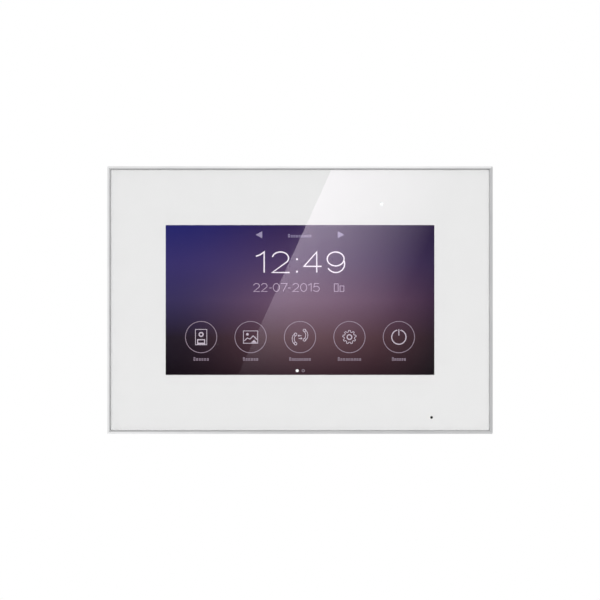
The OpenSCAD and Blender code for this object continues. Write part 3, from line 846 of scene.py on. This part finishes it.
def menu():
    """The menu's marks, from the clock down to the row of pages."""
    clock = Marks("menu_clock", "F3EAF6")
    clock.digits(CLOCK, bottom=15.8, height=11.8, wide=0.86, width=0.75)
    for z in (16.3, 23.4):
        clock.box(-1.75, z, 0.55, 0.55, 0.5)
    clock.done()

    date = Marks("menu_date", "B7A3BC")
    date.digits(DATE, bottom=DATE_Z, height=4.6, wide=0.78, width=0.4)
    for x, up in ((20.8, 4.4), (24.1, 3.2)):
        date.box(x, DATE_Z + up / 2, 2.2, up, 0.4)
    date.done()

    arrows = Marks("menu_arrows", "9A90B0")
    for side in (-1, 1):
        arrows.patch([(side * 21.7, ARROW_Z - 2), (side * 21.7, ARROW_Z + 2), (side * 25.5, ARROW_Z)])
    arrows.greeked(-0.2, 36.9, 13.8, WORD_HEIGHT, WORD_LINE)
    arrows.done()

    rings = Marks("menu_rings", "9C8C9C")
    icons = Marks("menu_icons", "C4B8C6")
    labels = Marks("menu_labels", "988898")
    draw = [door_station, photograph, handsets, gear, power_sign]
    for i, (icon, wide) in enumerate(zip(draw, LABEL_WIDTHS)):
        x = (i - 2) * BUTTON_PITCH
        rings.ring(x, BUTTON_Z, BUTTON_R, LINE)
        icon(icons, x, BUTTON_Z)
        labels.greeked(x, LABEL_Z, wide, WORD_HEIGHT, WORD_LINE)
    for marks in (rings, icons, labels):
        marks.done()

    pages = Marks("menu_pages", "FFFFFF")
    pages.dot(-1.6, PAGES_Z, 0.86)
    pages.done()
    empty = Marks("menu_empty_page", "A99BA9")
    empty.ring(1.85, PAGES_Z, 0.7, 0.25)
    empty.done()


def door_station(marks, x, z):
    """A door station: a tall panel with its lens and a tray."""
    marks.box(x, z, 6.5, 8.8, LINE)
    marks.ring(x, z + 1.5, 1.1, 0.75)
    marks.stroke([(x - 2, z - 4.2), (x - 2, z - 1.5), (x + 2, z - 1.5), (x + 2, z - 4.2)], 0.6)
    marks.stroke([(x - 2, z - 3.7), (x + 2, z - 3.7)], 0.9)


def photograph(marks, x, z):
    """A framed view of the sun over two hills."""
    marks.box(x, z, 8.2, 7.1, LINE)
    marks.dot(x - 1.8, z + 1.6, 0.75)
    hills = [(-3.6, -2.2), (-1.8, -0.5), (-0.4, -1.2), (1.5, 0.7), (3.7, -1.4)]
    marks.stroke([(x + a, z + b) for a, b in hills], 0.5)
    marks.patch([(x + 0.2, z - 3.2), (x + 1.9, z - 1.6), (x + 3.6, z - 3.2)])


def handsets(marks, x, z):
    """Two telephone handsets with an arrow from each to the other."""
    for side in (-1, 1):
        middle = (x + side * 1.5, z + side * 1.1)
        turn = 0 if side < 0 else 180
        marks.stroke(arc(*middle, 3.0, 3.5, 115 + turn, 245 + turn), LINE)
        marks.stroke(arc(*middle, 1.8, 2.3, 120 + turn, 240 + turn), LINE)
        for end in (115, 245):
            angle = math.radians(end + turn)
            marks.ring(middle[0] + 2.5 * math.cos(angle), middle[1] + 3.0 * math.sin(angle), 0.75, LINE)
        marks.stroke([(x - side * 1.2, z + side * 0.8), (x + side * 0.8, z + side * 0.8)], 0.4)
        marks.patch([(x - side * 1.4, z + side * 0.8), (x - side * 0.5, z + side * 1.5),
                     (x - side * 0.5, z + side * 0.1)])


def gear(marks, x, z):
    """A gear wheel with nine teeth and its bore."""
    teeth, root, tip = 9, 3.0, 3.85
    outline = []
    for i in range(teeth):
        for share, radius in ((-0.3, root), (-0.17, tip), (0.17, tip), (0.3, root)):
            angle = 2 * math.pi * (i + share) / teeth + math.pi / 2
            outline.append((x + radius * math.cos(angle), z + radius * math.sin(angle)))
    marks.stroke(outline + outline[:1], LINE)
    marks.ring(x, z, 1.35, 0.6)


def power_sign(marks, x, z):
    """An open circle with a bar through its gap."""
    marks.stroke(arc(x, z, 4.1, 4.1, 103, 437, 48), 0.6)
    marks.stroke([(x, z + 4.5), (x, z + 0.9)], 0.5)


# ---------- stage ----------

def studio():
    """A white room: pure white behind the object, and darkness where the camera stands."""
    world = bpy.data.worlds.new("studio")
    bpy.context.scene.world = world
    world.use_nodes = True
    world.node_tree.nodes.clear()
    t = Tree(world.node_tree, "Generated")
    up = t.axis("Z")
    dome = t.vary(up, 0.34, 0.66, start=-1)
    rooms = t.vary(up, 0.5, 0.9, start=-0.7, end=0.7)
    rooms = t.maths("SUBTRACT", rooms, t.maths("MULTIPLY", t.axis("X"), 0.12))
    front = t.maths("MULTIPLY", t.axis("Y"), -1.0)
    dark = t.vary(front, 1, 0, start=math.cos(math.radians(8)), end=math.cos(math.radians(4.5)),
                  curve="SMOOTHSTEP")
    mirrored = t.maths("MULTIPLY", rooms, dark)
    rays = t.add("LightPath")
    level = t.choose(rays.outputs["Is Glossy Ray"], dome, mirrored)
    level = t.choose(rays.outputs["Is Camera Ray"], level, 1.0)
    light = t.add("Background", Color=grey(1), Strength=level)
    t.set(t.add("OutputWorld"), Surface=light.outputs[0])


def sun(name, direction, strength, spread):
    """Daylight from a direction, out of a round patch of sky this many degrees across."""
    lamp = bpy.data.lights.new(name, "SUN")
    lamp.energy = strength
    lamp.angle = math.radians(spread)
    holder = bpy.data.objects.new(name, lamp)
    holder.rotation_euler = (-Vector(direction)).to_track_quat("-Z", "Y").to_euler()
    holder.visible_glossy = False
    bpy.context.scene.collection.objects.link(holder)


EYE = 2.0
PHOTO_W = 0.344


def camera(glass):
    """Straight in front of the glass, so far off that the picture's width takes in PHOTO_W."""
    eye = bpy.data.cameras.new("camera")
    eye.sensor_width = 36
    eye.lens = eye.sensor_width * EYE / PHOTO_W
    eye.clip_start, eye.clip_end = 0.05, 50
    holder = bpy.data.objects.new("camera", eye)
    holder.location = (0, glass - EYE, 0)
    holder.rotation_euler = (math.radians(90), 0, 0)
    bpy.context.scene.collection.objects.link(holder)
    bpy.context.scene.camera = holder


def staged(name, corners, material):
    """Makes one flat face that belongs to the stage."""
    mesh = bpy.data.meshes.new(name)
    mesh.from_pydata(corners, [], [range(len(corners))])
    mesh.materials.append(material)
    piece = bpy.data.objects.new(name, mesh)
    bpy.context.scene.collection.objects.link(piece)
    return piece


def only_reflected(card):
    """Leaves a card to glossy rays alone."""
    for ray in ("camera", "diffuse", "transmission", "shadow", "volume_scatter"):
        setattr(card, "visible_" + ray, False)


def floor():
    """A plain pale floor at standing height below the monitor."""
    f = moulded("floor", "E8E8E7", "EEEEEE", rough=0.8)
    drop, reach, sides = -1.75, 4.0, 64
    turns = [2 * math.pi * i / sides for i in range(sides)]
    staged("floor", [(reach * math.cos(a), reach * math.sin(a), drop) for a in turns], f.material)


CARD_BACK = 2.6
# The bright reflection on the glass: its edge leans, and it fades to the right and downwards
SHEEN_EDGE = (3.5, 42.9)
SHEEN_LEAN = 0.455
SHEEN_FADE = 75
SHEEN_TOP = 41
SHEEN_BOTTOM = -56
SHEEN_LEVEL = 1.38
SHEEN_TINT = "FFEEFF"
# The card's own foot and top, past both ends of the fade
SHEEN_CARD = (-60, 85)


def sheen_card(glass):
    """A soft window behind the camera that only reflections see, with a leaning left edge."""
    spread = 1 + CARD_BACK / EYE
    f = Finish("sheen")
    x = f.maths("DIVIDE", f.axis("X"), spread * MM)
    z = f.maths("DIVIDE", f.axis("Z"), spread * MM)
    lean = f.maths("MULTIPLY", f.maths("SUBTRACT", z, SHEEN_EDGE[1]), SHEEN_LEAN)
    past = f.maths("SUBTRACT", f.maths("SUBTRACT", x, SHEEN_EDGE[0]), lean)
    fade = f.vary(past, 1, 0, end=SHEEN_FADE)
    rise = f.maths("POWER", f.vary(z, 0, 1, start=SHEEN_BOTTOM, end=SHEEN_TOP), 1.5)
    f.tree.nodes.remove(f.shader)
    strength = f.maths("MULTIPLY", f.maths("MULTIPLY", fade, rise), SHEEN_LEVEL)
    light = f.add("Emission", Color=linear(SHEEN_TINT), Strength=strength)
    f.set(f.tree.nodes["Material Output"], Surface=light.outputs[0])
    edge = [SHEEN_EDGE[0] + SHEEN_LEAN * (height - SHEEN_EDGE[1]) for height in SHEEN_CARD]
    foot, top = SHEEN_CARD
    outline = [(edge[0], foot), (edge[0] + SHEEN_FADE, foot), (edge[1] + SHEEN_FADE, top), (edge[1], top)]
    corners = [(x * spread * MM, glass - CARD_BACK, z * spread * MM) for x, z in outline]
    card = staged("sheen_card", corners, f.material)
    only_reflected(card)


def glow_card(name, place, size, level):
    """A soft round light near the front, facing the object, that only reflections see."""
    f = Finish(name)
    f.tree.nodes.remove(f.shader)
    across = f.add("CombineXYZ", X=f.axis("X"), Y=f.axis("Z")).outputs[0]
    radius = f.add("VectorMath", {"operation": "LENGTH"}, _0=across).outputs["Value"]
    fade = f.vary(radius, level, 0, end=size / 2, curve="SMOOTHSTEP")
    light = f.add("Emission", Color=grey(1), Strength=fade)
    shade = f.add("AddShader", _0=light.outputs[0], _1=f.add("BsdfTransparent").outputs[0])
    f.set(f.tree.nodes["Material Output"], Surface=shade.outputs[0])
    half = size / 2
    card = staged(name, [(-half, 0, -half), (half, 0, -half), (half, 0, half), (-half, 0, half)], f.material)
    card.location = place
    card.rotation_euler = Vector(place).to_track_quat("-Y", "Z").to_euler()
    only_reflected(card)


# ---------- the object ----------

bpy.context.scene.view_settings.view_transform = "Standard"
glass_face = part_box("front_glass")[0].y
camera(glass_face)
studio()
sun("key_light", (-0.04, -1, 0.05), 1.6, 20)
sun("back_light", (0.4, 0.8, 0.45), 1.1, 40)
floor()
sheen_card(glass_face)
glow_card("top_glow", (0.02, -0.04, 0.3), 0.34, 0.35)
glow_card("left_glow", (-0.4, -0.04, -0.05), 0.5, 0.2)
glow_card("low_glow", (-0.14, -0.04, -0.3), 0.36, 0.6)
finish_nodes()
thin_pane(NODES["mask_film"])
thin_pane(NODES["touch_sensor"])
thin_pane(NODES["front_glass"])
rear_shell()
menu()
